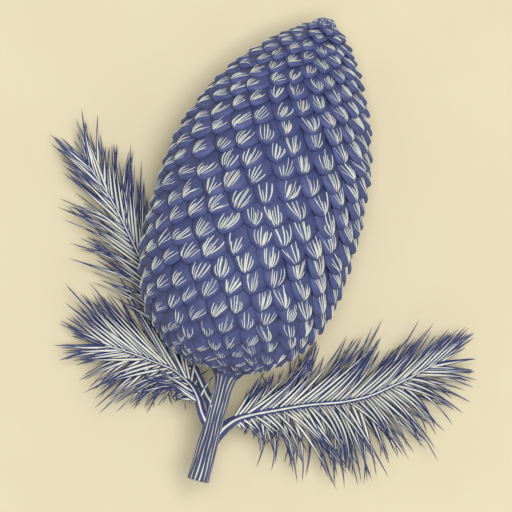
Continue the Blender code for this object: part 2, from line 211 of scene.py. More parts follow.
# Each twig's route in mm, and the angle in degrees between its needles and it, at parts of its length
RIGHT_ROUTE = ((-23.1, -73.4, 40), (-19.4, -70.6, 39), (-15.8, -66.4, 37), (-8.9, -62.4, 32),
               (6.2, -59.7, 22), (17.3, -58.1, 17), (30.4, -57, 15), (40.8, -54.7, 14.5),
               (48.9, -51.2, 14.5), (56.2, -47.8, 14.5), (67.2, -41.6, 14.5))
RIGHT_SWEEP = ((0, 58), (0.2, 64), (0.5, 62), (0.7, 53), (0.85, 38), (1, 16))
RIGHT_DROOP = ((0, 0.5), (0.3, 0.22), (0.5, 0.25), (0.75, 0.5), (1, 0.6))
RIGHT_SHORTENING = ((0, 0.8), (0.1, 0.3), (0.2, 0.02), (0.5, 0), (0.7, -0.04), (0.85, 0), (1, 0.05))
LOWER_LEFT_ROUTE = ((-22.3, -65.5, 40), (-24.4, -60, 39.5), (-25.8, -55.1, 37.5), (-28, -50.8, 34),
                    (-31.4, -47.4, 29), (-36.2, -43.9, 23), (-44.3, -40.8, 17.5), (-50.4, -38.5, 15.5),
                    (-57.4, -36.2, 14.5), (-62.5, -35.2, 14.5))
LOWER_LEFT_SWEEP = ((0, 54), (0.5, 50), (0.8, 36), (1, 14))
LOWER_LEFT_DROOP = ((0, 0.5), (0.7, 0.4), (1, -0.2))
LOWER_LEFT_SHORTENING = ((0, 0.85), (0.15, 0.6), (0.35, 0.3), (0.8, 0.2), (1, 0))
UPPER_LEFT_ROUTE = ((-20.4, -57.6, 40), (-22.6, -53.4, 34.5), (-26.6, -45.4, 25), (-31, -37, 17.5),
                    (-38.5, -21.6, 12), (-47.2, -4.2, 12), (-54.3, 10.8, 13.5), (-60.4, 22.7, 14.5),
                    (-69, 35.5, 14.5))
UPPER_LEFT_SWEEP = ((0, 24), (0.3, 26), (0.5, 31), (0.75, 26), (1, 18))
UPPER_LEFT_DROOP = ((0, 0.5), (0.5, 0.5), (0.8, -0.2), (1, -0.3))
UPPER_LEFT_SHORTENING = ((0, 0), (0.6, 0), (0.85, 0.06), (1, 0.02))
# Each spray has its twig's radius at the stem, where its needles start and how many are tried.
# Droop and shortening are how much more they lean back, and how much shorter they are, towards -Y.
Spray = namedtuple("Spray", "name route radius first count sweeps droops shortenings seed")
SPRAYS = (
    Spray("spray_right", RIGHT_ROUTE, 2.4 * MM, 24 * MM, 310, RIGHT_SWEEP, RIGHT_DROOP,
          RIGHT_SHORTENING, 120),
    Spray("spray_lower_left", LOWER_LEFT_ROUTE, 1.8 * MM, 18 * MM, 210, LOWER_LEFT_SWEEP,
          LOWER_LEFT_DROOP, LOWER_LEFT_SHORTENING, 101),
    Spray("spray_upper_left", UPPER_LEFT_ROUTE, 1.8 * MM, 30 * MM, 230, UPPER_LEFT_SWEEP,
          UPPER_LEFT_DROOP, UPPER_LEFT_SHORTENING, 102),
)
TWIG_TIP_RADIUS = 0.8 * MM
TWIG_TAPER_POWER = 0.7
TWIG_SIDES = 16
PALE_LINE_EVERY = 4
TWIG_RIDGE = 0.06
# Knobs along a twig: height as a share of its radius, and radians from ring to ring
TWIG_KNOBS = ((0.07, 2.4), (0.05, 5.1))
JOINT_FLARE = 0.35
JOINT_LENGTH = 9 * MM
ROOT_BACK = 7 * MM
TWIG_RINGS = 60
ROUTE_STEPS = 8
FIRST_LENGTH = 0.5
GROWING_OVER = 24 * MM
NEEDLE_LENGTH = 32 * MM
NEEDLE_HALF_WIDTH = 0.78 * MM
NEEDLE_HALF_THICKNESS = 0.45 * MM
LEADER_EVERY = 4
LEADER_GROWTH = 0.16
TUFT_REACH = 10 * MM
TUFT_PULL = 0.42
TUFT_POWER = 1.3
BOX_MARGIN = 2 * MM
NEEDLE_POINTS = 10
ROOT_SHARE = 0.6
BENDS = (0.7, 1)
TURN_SPREAD = 0.15
TIP_LOWEST = 0.6 * MM
MIDDLE_LOWEST = 0.8 * MM
END_LENGTH = 0.55
LENGTH_ARCH = 0.9
LENGTH_SPREAD = (0.84, 1.08)
SWEEP_SPREAD = math.radians(9)
NEEDLE_FLATTENING = 0.7
PARTING = math.radians(32)
CONE_CLEARANCE = 0.8 * MM
BELOW_CONE = 3 * MM
STEM_LENGTH_CLEAR = 46 * MM
STEM_RADIUS_CLEAR = 5.4 * MM
ATTEMPTS = 24
RETRY_TURN = 0.9
RETRY_SLANT = math.radians(1.5)
LEAST_SLANT = math.radians(8)

# A needle's cross-section, whose middle corners close in on its pale line
NEEDLE_SECTION = ((-1, 0), (-1, 1), (1, 1), (1, 0), (1, -1), (-1, -1))
NEEDLE_SHOULDER = 0.85
FACES_UP = 0.75
FACES_OUT = 0.35
PALE_SIDES = (1, 4)
PALE_PARTS = (0.5, 0.9)
PALE_WIDTH = 0.51
LEAST_PALE_WIDTH = 0.06
NEEDLE_TAPER = ((0, 0.75), (0.15, 1), (0.4, 0.92), (0.7, 0.45), (1, 0.14))

# The photograph's frame on the plane of the cone's axis
PIXELS = 512
MM_PER_PIXEL = 0.385
PHOTO_MIDDLE = (265, 256)
LENS = 300
SENSOR = 36
CAMERA_REACH = 100

# The stage, in metres and watts
FLOOR_SIZE = 6
FLOOR_HEIGHT = -0.02 * MM
SKY_COLOUR = (0.98, 0.985, 0.99, 1)
SKY_STRENGTH = 0.32
KEY_PLACE = (0.25, 0.1, 3.0)
KEY_SIZE = 1.1
KEY_POWER = 72


# Meshes from arrays

def mesh_piece(name, verts, faces, material, tones=None):
    """A piece from points in metres, held above the surface; tones colour its corners."""
    verts = np.asarray(verts, float).copy()
    verts[:, 2] = np.maximum(verts[:, 2], LOWEST)
    mesh = bpy.data.meshes.new(name)
    mesh.from_pydata(verts.tolist(), [], faces)
    mesh.update()
    if tones is not None:
        layer = mesh.attributes.new("tone", "FLOAT", "CORNER")
        layer.data.foreach_set("value", np.asarray(tones, np.float32))
    mesh.shade_smooth()
    mesh.materials.append(material)
    piece = bpy.data.objects.new(name, mesh)
    bpy.context.scene.collection.objects.link(piece)
    return piece


def unit(vector):
    return vector / np.linalg.norm(vector)


def round_axis(angle):
    """The direction away from the cone's and the stem's axis at an angle round it."""
    return ACROSS * math.cos(angle) + UP * math.sin(angle)


def tube_faces(rings, sides):
    """Faces of a closed tube: its sides ring by ring, then its first and its last end."""
    faces = []
    for i in range(rings - 1):
        for j in range(sides):
            k = (j + 1) % sides
            p, q = i * sides, (i + 1) * sides
            faces.append((p + j, p + k, q + k, q + j))
    faces.append(tuple(range(sides))[::-1])
    faces.append(tuple((rings - 1) * sides + j for j in range(sides)))
    return faces


def shifted(faces, count):
    """The same faces for points that come after some others."""
    return [tuple(i + count for i in face) for face in faces]


# The cone's outline

def cone_radius(s):
    if s < WIDEST_AT:
        x = (WIDEST_AT - s) / (WIDEST_AT + BASE_OVERSHOOT)
        return CONE_RADIUS * math.sqrt(max(0, 1 - x ** BASE_POWER))
    x = min(1, (s - WIDEST_AT) / (CONE_LENGTH - WIDEST_AT))
    return CONE_RADIUS * (1 - x ** TIP_POWER) ** TIP_ROUNDING


def cone_slope(s):
    step = 0.02 * MM
    return (cone_radius(s + step) - cone_radius(s - step)) / (2 * step)


def cone_bow(s):
    part = max(0, s) / CONE_LENGTH
    return CONE_BOW * (1 - part ** BOW_POWER) + TIP_LEAN * part ** TIP_LEAN_POWER


def cone_frame(s, angle):
    """The outline's point there, with the directions across, towards the tip and outward."""
    outward = round_axis(angle)
    sideways = UP * math.cos(angle) - ACROSS * math.sin(angle)
    slope = max(STEEPEST, cone_slope(s))
    norm = math.hypot(1, slope)
    place = CONE_BASE + ALONG * s + ACROSS * cone_bow(s) + outward * cone_radius(s)
    tipward = (ALONG + outward * slope) / norm
    normal = (outward - ALONG * slope) / norm
    return place, sideways, tipward, normal


def scale_size(s):
    return (cone_radius(s) + SCALE_SHRINK) / (CONE_RADIUS + SCALE_SHRINK)


def scale_places():
    """The spiral: each scale's distance along the axis, its angle and its size."""
    places = []
    s = FIRST_SCALE_AT
    k = 0
    while s < WIDEST_AT or cone_radius(s) > LAST_SCALE_RADIUS:
        radius = cone_radius(s)
        size = scale_size(s)
        places.append((s, k * GOLDEN_ANGLE, size))
        s += SCALE_AREA * size ** 2 / (2 * math.pi * radius) / math.hypot(1, cone_slope(s))
        k += 1
    return places


# One scale

def scale_outline(a):
    """The half width along a scale, as a share: a rounded free end at 0 and a narrow root at 1."""
    first_power, second_power = ROUND_POWERS
    tip = (1 - np.clip(1 - a / ROUND_LENGTH, 0, 1) ** first_power) ** second_power
    root = 1 - ROOT_NARROWING * np.clip((a - ROOT_FROM) / ROOT_LENGTH, 0, 1) ** 2
    return LEAST_OUTLINE + (1 - LEAST_OUTLINE) * tip * root


def scale_height(a, b):
    """How far a scale's outer face lies above the outline: it is rounded off at its free end."""
    hook = 1 - np.sqrt(1 - np.clip(1 - a / HOOK_SHARE, 0, 1) ** 2)
    dome = SCALE_DOME * b ** 2 * (1 - DOME_FADE * a)
    return SCALE_LIFT - SCALE_DROP * a - SCALE_HOOK * hook - dome


def scale_points(a, b, width):
    """Points on a scale in its own frame: across, towards the tip and outward."""
    return np.stack([b * SCALE_HALF_WIDTH * width * scale_outline(a),
                     -FREE_LENGTH + a * SCALE_LENGTH,
                     scale_height(a, b)], axis=-1)


def shell_faces(rows, columns):
    """Faces of a closed shell between an outer and an inner grid."""
    faces = []
    inner = rows * columns
    for i in range(rows - 1):
        for j in range(columns - 1):
            p = i * columns + j
            faces.append((p, p + 1, p + columns + 1, p + columns))
            q = p + inner
            faces.append((q, q + columns, q + columns + 1, q + 1))
    rim = list(range(columns))
    rim += [i * columns + columns - 1 for i in range(1, rows)]
    rim += [(rows - 1) * columns + j for j in range(columns - 2, -1, -1)]
    rim += [i * columns for i in range(rows - 2, 0, -1)]
    for p, q in zip(rim, rim[1:] + rim[:1]):
        faces.append((q, p, p + inner, q + inner))
    return faces


def fibre_faces(points):
    """Faces of a three-sided strip that is pointed at both ends."""
    faces = []
    for i in range(points - 1):
        for j in range(3):
            k = (j + 1) % 3
            faces.append((3 * i + j, 3 * i + k, 3 * i + 3 + k, 3 * i + 3 + j))
    first, last = 3 * points, 3 * points + 1
    for j in range(3):
        k = (j + 1) % 3
        faces.append((first, k, j))
        faces.append((last, 3 * (points - 1) + j, 3 * (points - 1) + k))
    return faces


def fibre_verts(line, across, normals, half_widths, heights):
    """A strip along a line of points, with its crest outward and its foot sunk a little."""
    foot = normals * (-FIBRE_SINK * FIBRE_HEIGHT)
    left = line[1:-1] - across * half_widths[:, None] + foot
    crest = line[1:-1] + normals * heights[:, None]
    right = line[1:-1] + across * half_widths[:, None] + foot
    body = np.stack([left, crest, right], axis=1).reshape(-1, 3)
    return np.concatenate([body, line[:1], line[-1:]])


def scale_fibres(rng, width, strength, skew, inward):
    """The raised fibres of one scale in its own frame: spindles that start near its free end."""
    count = rng.choice(FIBRE_COUNTS)
    lean = rng.uniform(-FIBRE_CURVE, FIBRE_CURVE)
    skew *= rng.uniform(-1, 1)
    first = rng.uniform(*PINCH_LOW)
    last = rng.uniform(*PINCH_HIGH)
    across = np.tile((1.0, 0, 0), (FIBRE_POINTS, 1))
    normals = np.tile((0, 0, 1.0), (FIBRE_POINTS, 1))
    strips = []
    for i in range(count):
        middle = (i + 0.5) / count * 2 - 1
        spread = middle * FIBRE_FAN + rng.uniform(-FIBRE_FAN_SPREAD, FIBRE_FAN_SPREAD)
        start = FIBRE_START + FIBRE_START_BOW * middle ** 2 + rng.uniform(*FIBRE_START_SPREAD)
        length = FIBRE_LENGTH - FIBRE_LENGTH_BOW * middle ** 2 + rng.uniform(*FIBRE_LENGTH_SPREAD)
        end = start + length * strength
        a = np.linspace(start, end, FIBRE_POINTS + 2)
        curve = lean + rng.uniform(-FIBRE_CURVE_SPREAD, FIBRE_CURVE_SPREAD)
        share = (a - start) / (end - start)
        pinch = 1 - (1 - first) * (1 - share) ** 2 - (1 - last) * share ** 2
        b = spread * pinch + curve * share * (1 - share) + skew * share - inward * (share - 0.5)
        b = np.clip(b, -FIBRE_EDGE, FIBRE_EDGE)
        line = scale_points(a, b, width)
        inner = FIBRE_ENDS + (1 - 2 * FIBRE_ENDS) * share[1:-1]
        swell = np.sin(np.pi * inner) ** FIBRE_SWELL_POWER
        half = FIBRE_HALF_WIDTH * rng.uniform(*FIBRE_WIDTHS) * swell * strength
        strips.append(fibre_verts(line, across, normals, half, FIBRE_HEIGHT * swell))
    return strips


def build_cone(scale_skin, fibre_skin):
    """All the scales, with painted shade towards their roots, over a core darkened as painted shade,
    and the fibres on them as a second piece.
    """
    rng = random.Random(CONE_SEED)
    rows = np.linspace(0, 1, SCALE_ROWS) ** ROW_POWER
    columns = np.linspace(-1, 1, SCALE_COLUMNS)
    a, b = np.meshgrid(rows, columns, indexing="ij")
    a, b = a.ravel(), b.ravel()
    shell = shell_faces(SCALE_ROWS, SCALE_COLUMNS)
    strip = fibre_faces(FIBRE_POINTS)
    scale_verts, scale_faces, tones = [], [], []
    strip_verts, strip_faces = [], []
    thickness = SCALE_THICKNESS * (1 - EDGE_THINNING * b ** 2) * (1 - ROOT_THINNING * a)
    # Painted shade: the tone falls from each scale's free end to its hidden root, and the underside is
    # darker still
    painted_shade_tones = np.concatenate([1 - a, (1 - a) * UNDERSIDE_PAINTED_SHADE])
    count, strip_count = 0, 0
    for s, angle, size in scale_places():
        place, sideways, tipward, normal = cone_frame(s, angle)
        inward = -math.cos(angle) * max(-1, min(1, INWARD_GAIN * math.sin(angle)))
        yaw = rng.uniform(-YAW_SPREAD, YAW_SPREAD) + YAW_INWARD * inward
        pitch = rng.uniform(-PITCH_SPREAD, PITCH_SPREAD)
        width = rng.uniform(*SCALE_WIDTHS)
        size *= rng.uniform(*SCALE_SIZES)
        place = place + sideways * rng.uniform(-SHIFT_SPREAD, SHIFT_SPREAD)
        place = place + tipward * rng.uniform(-SHIFT_SPREAD, SHIFT_SPREAD)
        x_axis = sideways * math.cos(yaw) + tipward * math.sin(yaw)
        y_axis = tipward * math.cos(yaw) - sideways * math.sin(yaw)
        z_axis = normal * math.cos(pitch) + y_axis * math.sin(pitch)
        y_axis = y_axis * math.cos(pitch) - normal * math.sin(pitch)
        axes = np.stack([x_axis, y_axis, z_axis]) * size
        outer = scale_points(a, b, width)
        inner = outer - thickness[:, None] * UP
        scale_verts.append(place + np.concatenate([outer, inner]) @ axes)
        scale_faces += shifted(shell, count)
        bright = rng.uniform(*SCALE_TONES)
        for face in shell:
            tones += [painted_shade_tones[i] * bright for i in face]
        count += 2 * len(a)
        strength = np.interp(s, BASE_FADE, (LEAST_STRENGTH, 1))
        # Painted shade: thinner fibres towards the cone's -X side
        strength *= np.interp(normal @ ACROSS, SHADED_SIDE, (SHADED_STRENGTH, 1))
        skew = np.interp(s, BASE_FADE, FIBRE_SKEW)
        for verts in scale_fibres(rng, width, strength, skew, FIBRE_INWARD * inward):
            strip_verts.append(place + verts @ axes)
            strip_faces += shifted(strip, strip_count)
            strip_count += len(verts)
    for verts in bud_fibres(rng):
        strip_verts.append(verts)
        strip_faces += shifted(strip, strip_count)
        strip_count += len(verts)
    # The core takes tone 0, the darkest blue, as painted shade between the scales
    for (verts, faces), tone_value in ((cone_core(), 0.0), (tip_bud(), BUD_TONE)):
        scale_verts.append(verts)
        scale_faces += shifted(faces, count)
        tones += [tone_value] * sum(len(face) for face in faces)
        count += len(verts)
    scales = mesh_piece("cone_scales", np.concatenate(scale_verts), scale_faces, scale_skin, tones)
    fibres = mesh_piece("cone_fibres", np.concatenate(strip_verts), strip_faces, fibre_skin)
    return scales, fibres


def bud_point(share, angle):
    """A point on the bud: share is 0 where it leaves the cone and 1 at its top."""
    s = BUD_START + (CONE_LENGTH + BUD_RISE - BUD_START) * share
    lobes = 1 + BUD_LOBE_DEPTH * math.cos(BUD_LOBES * angle + BUD_LOBE_TWIST * share)
    reach = BUD_RADIUS * math.sqrt(1 - share ** BUD_POWER) * lobes
    return CONE_BASE + ALONG * s + ACROSS * cone_bow(s) + round_axis(angle) * reach


def bud_fibres(rng):
    """Short raised fibres on the bud, which run towards its top."""
    middle = CONE_BASE + ALONG * BUD_START + ACROSS * cone_bow(BUD_START)
    swell = np.sin(np.pi * np.linspace(*BUD_FIBRE_ENDS, FIBRE_POINTS)) ** FIBRE_SWELL_POWER
    strips = []
    for i in range(BUD_FIBRES):
        first = rng.uniform(*BUD_FIBRE_STARTS)
        length = BUD_FIBRE_LENGTH * (BUD_FIBRE_FADE - first) * rng.uniform(*BUD_FIBRE_LENGTHS)
        lean = rng.uniform(-BUD_FIBRE_LEAN, BUD_FIBRE_LEAN)
        shares = np.linspace(first, min(BUD_FIBRE_LIMIT, first + length), FIBRE_POINTS + 2)
        line = np.array([bud_point(x, i * GOLDEN_ANGLE + lean * x) for x in shares])
        normals = np.array([unit(point - middle) for point in line[1:-1]])
        along = unit(line[-1] - line[0])
        across = np.array([unit(np.cross(along, normal)) for normal in normals])
        half = FIBRE_HALF_WIDTH * rng.uniform(*BUD_FIBRE_WIDTHS) * swell
        strips.append(fibre_verts(line, across, normals, half, BUD_FIBRE_RISE * FIBRE_HEIGHT * swell))
    return strips


def tip_bud():
    """The rounded bud that closes the cone's tip, with a few lobes."""
    verts = []
    for i in range(BUD_RINGS):
        for j in range(BUD_SIDES):
            verts.append(bud_point(i / BUD_RINGS, 2 * math.pi * j / BUD_SIDES))
    return np.array(verts), tube_faces(BUD_RINGS, BUD_SIDES)


def cone_core():
    """The closed body that the scales grow from, in the darkest blue as painted shade in the gaps
    between scales.
    """
    verts = []
    length = CONE_LENGTH - CORE_SHORTER - CORE_START
    for i in range(CORE_RINGS):
        s = CORE_START + length * (1 - math.cos(math.pi * i / (CORE_RINGS - 1))) / 2
        for j in range(CORE_SIDES):
            place, _, _, normal = cone_frame(s, 2 * math.pi * j / CORE_SIDES)
            verts.append(place - normal * CORE_DEPTH * scale_size(s))
    return np.array(verts), tube_faces(CORE_RINGS, CORE_SIDES)


# The sprays

def stem_root(place):
    """A point on the stem's axis, a little nearer to its cut end than a twig's first point."""
    distance = (CONE_BASE - place) @ ALONG + ROOT_BACK
    return CONE_BASE - ALONG * distance


def smooth_route(points):
    """Points on a smooth curve through the route's own points, with their distances along it."""
    knots = [np.array(p) * MM + MIDDLE_SHIFT for p in points]
    knots = [stem_root(knots[0])] + knots
    knots = [2 * knots[0] - knots[1]] + knots + [2 * knots[-1] - knots[-2]]
    fine = []
    for a, b, c, d in zip(knots, knots[1:], knots[2:], knots[3:]):
        for t in np.linspace(0, 1, ROUTE_STEPS, endpoint=False):
            fine.append(0.5 * (2 * b + (c - a) * t + (2 * a - 5 * b + 4 * c - d) * t ** 2
                               + (3 * b - a - 3 * c + d) * t ** 3))
    fine.append(knots[-2])
    route = np.array(fine)
    lengths = np.concatenate([[0], np.cumsum(np.linalg.norm(np.diff(route, axis=0), axis=1))])
    return route, lengths


def route_at(route, lengths, distance):
    place = np.array([np.interp(distance, lengths, route[:, i]) for i in range(3)])
    ahead = np.array([np.interp(distance + MM, lengths, route[:, i]) for i in range(3)])
    behind = np.array([np.interp(distance - MM, lengths, route[:, i]) for i in range(3)])
    return place, unit(ahead - behind)


def twig_radius(radius, part):
    return radius + (TWIG_TIP_RADIUS - radius) * part ** TWIG_TAPER_POWER


def inside_cone(points):
    """Whether any of the points lies within the cone's outline."""
    for point in points:
        offset = point - CONE_BASE
        s = offset @ ALONG
        if not -BELOW_CONE < s < CONE_LENGTH + CONE_CLEARANCE:
            continue
        reach = math.hypot(offset @ ACROSS - cone_bow(s), offset[2])
        if reach < cone_radius(min(CONE_LENGTH, max(s, 0))) + CONE_CLEARANCE:
            return True
    return False


def near_stem(points):
    """Whether any of the points lies in the stem or close to it."""
    for point in points:
        offset = point - CONE_BASE
        reach = math.hypot(offset @ ACROSS, offset[2])
        if 0 < -(offset @ ALONG) < STEM_LENGTH_CLEAR and reach < STEM_RADIUS_CLEAR:
            return True
    return False


def bezier(start, middle, end, count):
    t = np.linspace(0, 1, count)[:, None]
    return start * (1 - t) ** 2 + middle * 2 * t * (1 - t) + end * t ** 2


def parted(turn):
    """The turn about the twig, opened out on the upper side so that the twig shows."""
    lean = (turn + math.pi / 2) % (2 * math.pi) - math.pi
    if abs(lean) < math.pi / 2:
        lean = math.copysign(PARTING + abs(lean) * (1 - 2 * PARTING / math.pi), lean)
    return lean + math.pi / 2


def value_at(table, part):
    parts, values = zip(*table)
    return np.interp(part, parts, values)


def needle_curves(spray, route, lengths):
    """Each needle's curve and the direction away from its twig."""
    rng = random.Random(spray.seed)
    curves = []
    for i in range(spray.count):
        part = i / (spray.count - 1)
        distance = spray.first + (lengths[-1] - spray.first) * part
        centre, forward = route_at(route, lengths, distance)
        side = unit(np.cross(forward, UP))
        above = np.cross(side, forward)
        longer = math.sin(math.pi * (1 + (part - 1) * LENGTH_ARCH))
        full = NEEDLE_LENGTH * (END_LENGTH + (1 - END_LENGTH) * longer) * rng.uniform(*LENGTH_SPREAD)
        full *= np.interp(distance, (spray.first, spray.first + GROWING_OVER), (FIRST_LENGTH, 1))
        sweep = math.radians(value_at(spray.sweeps, part)) + rng.uniform(-SWEEP_SPREAD, SWEEP_SPREAD)
        droop = value_at(spray.droops, part)
        shortening = value_at(spray.shortenings, part)
        turn = i * GOLDEN_ANGLE + rng.uniform(-TURN_SPREAD, TURN_SPREAD)
        bend = rng.uniform(*BENDS)
        for attempt in range(ATTEMPTS):
            spread = parted(turn + attempt * RETRY_TURN)
            outward = unit(side * math.cos(spread) + above * math.sin(spread) * NEEDLE_FLATTENING)
            slant = max(LEAST_SLANT, sweep * (1 - droop * outward[1]) - attempt * RETRY_SLANT)
            length = full * (1 + shortening * outward[1])
            root = centre + outward * twig_radius(spray.radius, part) * ROOT_SHARE
            heading = forward * math.cos(slant) + outward * math.sin(slant)
            leaving = forward * math.cos(slant * bend) + outward * math.sin(slant * bend)
            tip = root + heading * length
            if tip[2] < TIP_LOWEST:
                flat = unit(heading * np.array((1, 1, 0)))
                drop = (root[2] - TIP_LOWEST) / length
                tip = root + (flat * math.sqrt(1 - drop ** 2) - UP * drop) * length
            middle = root + leaving * length * 0.5
            middle[2] = max(middle[2], MIDDLE_LOWEST)
            points = bezier(root, middle, tip, NEEDLE_POINTS + 1)
            if not inside_cone(points) and not near_stem(points[1:]):
                curves.append((points, outward))
                break
    return gather_tufts(curves)


def within_box(point):
    """Whether a point is inside the solids' box, or only a little outside it."""
    low, high = (np.array(corner) for corner in CAD_BOX)
    return (point > low - BOX_MARGIN).all() and (point < high + BOX_MARGIN).all()


def gather_tufts(curves):
    """Leaders grow and other needles lean towards a leader's tip, so they end in pointed tufts."""
    leaders = np.array([points[-1] for points, _ in curves[::LEADER_EVERY]])
    gathered = []
    for i, (points, outward) in enumerate(curves):
        gaps = np.linalg.norm(leaders - points[-1], axis=1)
        nearest = leaders[gaps.argmin()]
        share = np.linspace(0, 1, len(points))[:, None] ** TUFT_POWER
        if i % LEADER_EVERY == 0:
            moved = points + (points[-1] - points[0]) * share * LEADER_GROWTH
        elif gaps.min() < TUFT_REACH:
            moved = points + (nearest - points[-1]) * share * TUFT_PULL
        else:
            moved = points
        if within_box(moved[-1]) and not inside_cone(moved):
            points = moved
        if within_box(points[-1]):
            gathered.append((points, outward))
    return gathered


def add_needle(points, outward, pale_part, verts, faces, tones):
    """One flattened needle with a pale line along the first part of its upper and lower middle."""
    base = len(verts)
    sides = len(NEEDLE_SECTION)
    stations = len(points) - 1
    facing = UP * FACES_UP + outward * FACES_OUT
    for i in range(stations):
        along = unit(points[i + 1] - points[max(0, i - 1)])
        across = unit(np.cross(along, facing))
        upward = np.cross(across, along)
        share = i / stations
        taper = value_at(NEEDLE_TAPER, share)
        pale = max(LEAST_PALE_WIDTH, PALE_WIDTH * math.sqrt(max(0, 1 - (share / pale_part) ** 2)))
        for x, y in NEEDLE_SECTION:
            wide = x * pale if y else x
            verts.append(points[i] + across * wide * NEEDLE_HALF_WIDTH * taper
                         + upward * y * NEEDLE_SHOULDER * NEEDLE_HALF_THICKNESS * taper)
    verts.append(points[-1])
    for i in range(stations - 1):
        for j in range(sides):
            k = (j + 1) % sides
            p = base + i * sides
            faces.append((p + j, p + k, p + sides + k, p + sides + j))
            tones += [1.0 if j in PALE_SIDES and i < pale_part * stations else 0.0] * 4
    last = base + (stations - 1) * sides
    for j in range(sides):
        faces.append((last + j, last + (j + 1) % sides, base + stations * sides))
        tones += [0.0] * 3
    faces.append(tuple(base + j for j in range(sides))[::-1])
    tones += [0.0] * sides


def add_twig(route, lengths, radius, verts, faces, tones):
    """A tapering twig with small knobs, and a pale line along its top, bottom and sides."""
    base = len(verts)
    for i in range(TWIG_RINGS):
        part = i / (TWIG_RINGS - 1)
        centre, forward = route_at(route, lengths, lengths[-1] * part)
        side = unit(np.cross(forward, UP))
        above = np.cross(side, forward)
        swell = 1 + sum(height * math.sin(i * step) for height, step in TWIG_KNOBS)
        swell += JOINT_FLARE * math.exp(-lengths[-1] * part / JOINT_LENGTH)
        for j in range(TWIG_SIDES):
            angle = 2 * math.pi * (j + 0.5) / TWIG_SIDES
            on_ridge = j % PALE_LINE_EVERY in (PALE_LINE_EVERY - 1, 0)
            ridge = 1 + TWIG_RIDGE if on_ridge else 1 - TWIG_RIDGE
            reach = twig_radius(radius, part) * swell * ridge
            verts.append(centre + (side * math.sin(angle) + above * math.cos(angle)) * reach)
    for face in tube_faces(TWIG_RINGS, TWIG_SIDES):
        pale = len(face) == 4 and face[0] % PALE_LINE_EVERY == PALE_LINE_EVERY - 1
        faces.append(tuple(base + i for i in face))
        tones += [1.0 if pale else 0.0] * len(face)


def build_spray(spray, skin):
    route, lengths = smooth_route(spray.route)
    verts, faces, tones = [], [], []
    add_twig(route, lengths, spray.radius, verts, faces, tones)
    rng = random.Random(spray.seed)
    for curve, outward in needle_curves(spray, route, lengths):
        add_needle(curve, outward, rng.uniform(*PALE_PARTS), verts, faces, tones)
    return mesh_piece(spray.name + "_fine", verts, faces, skin, tones)


# The stem

def growth(limits, distance):
    """0 before the first limit along the stem, 1 after the second and an even rise between."""
    return np.interp(distance, limits, (0, 1))


def bark_at(distance, angle):
    """At a place on the stem, how high its ridge stands and how pale its crest is, from 0 to 1."""
    wave = sum(height * math.sin(distance * along + turns * angle)
               for height, along, turns in RIDGE_WAVES)
    crest = 0.5 + 0.5 * math.cos(STEM_RIDGES * (angle + wave))
    ridge = round(STEM_RIDGES * (angle + wave) / (2 * math.pi))
    bright, strength, pace, difference = CREST_BREAKS
    pace += difference * (ridge % BREAK_KINDS)
    breaks = bright + strength * math.sin(distance * pace + ridge * BREAK_STEP)
    return crest, crest * breaks * growth(CRESTS_TURN_PALE, distance)


def build_stem(skin, wood):
    """A rod with wavy lengthwise bark ridges and a flared collar, and its clean cut end."""
    reach, radii = zip(*STEM_RINGS)
    verts, faces, tones, crests = [], [], [], []
    for distance in np.linspace(reach[0], reach[-1], BARK_RINGS):
        radius = np.interp(distance, reach, radii) * MM
        depth = RIDGE_DEPTH * (COLLAR_RIDGES + (1 - COLLAR_RIDGES) * growth(RIDGES_GROW, distance))
        for j in range(BARK_SIDES):
            angle = 2 * math.pi * j / BARK_SIDES
            crest, paleness = bark_at(distance, angle)
            crests.append(paleness)
            bark = radius - depth * (1 - crest ** RIDGE_POWER)
            verts.append(CONE_BASE - ALONG * distance * MM + round_axis(angle) * bark)
    for i in range(BARK_RINGS - 1):
        for j in range(BARK_SIDES):
            k = (j + 1) % BARK_SIDES
            p, q = i * BARK_SIDES, (i + 1) * BARK_SIDES
            faces.append((p + j, q + j, q + k, p + k))
            tones += [crests[corner] for corner in faces[-1]]
    faces.append(tuple(range(BARK_SIDES)))
    faces.append(tuple((BARK_RINGS - 1) * BARK_SIDES + j for j in range(BARK_SIDES))[::-1])
    tones += [0.0] * (2 * BARK_SIDES)
    stem = mesh_piece("stem_bark", verts, faces, skin, tones)
    return stem, cut_end(wood)


def cut_end(wood):
    """The clean cut: pale wood with faint growth rings and a small pith, just inside the bark."""
    distance, radius = STEM_RINGS[-1]
    centre = CONE_BASE - ALONG * distance * MM
    radius = radius * MM - RIDGE_DEPTH
    verts, faces, tones = [], [], []
    for i in range(CUT_RINGS):
        share = 1 - i / CUT_RINGS
        rise = CUT_RISE + CUT_RIPPLE * math.cos(i * RIPPLE_STEP) if i else -CUT_OVERLAP
        for j in range(CUT_SIDES):
            outward = round_axis(2 * math.pi * j / CUT_SIDES)
            verts.append(centre - ALONG * rise + outward * radius * share)
    verts.append(centre - ALONG * CUT_OVERLAP)
    for i in range(CUT_RINGS - 1):
        for j in range(CUT_SIDES):
            k = (j + 1) % CUT_SIDES
            p, q = i * CUT_SIDES, (i + 1) * CUT_SIDES
            faces.append((p + j, q + j, q + k, p + k))
            tones += [1.0 if i % GROWTH_RING_EVERY else DARK_RING] * 4
    last = (CUT_RINGS - 1) * CUT_SIDES
    for j in range(CUT_SIDES):
        faces.append((last + j, last + CUT_SIDES, last + (j + 1) % CUT_SIDES))
        tones += [0.0] * 3
    faces.append(tuple(range(CUT_SIDES))[::-1])
    tones += [DARK_RING] * CUT_SIDES
    return mesh_piece("stem_cut_end", verts, faces, wood, tones)


# Materials

def new_material(name, roughness):
    material = bpy.data.materials.new(name)
    material.use_nodes = True
    shader = material.node_tree.nodes["Principled BSDF"]
    shader.inputs["Roughness"].default_value = roughness
    return material, material.node_tree, shader


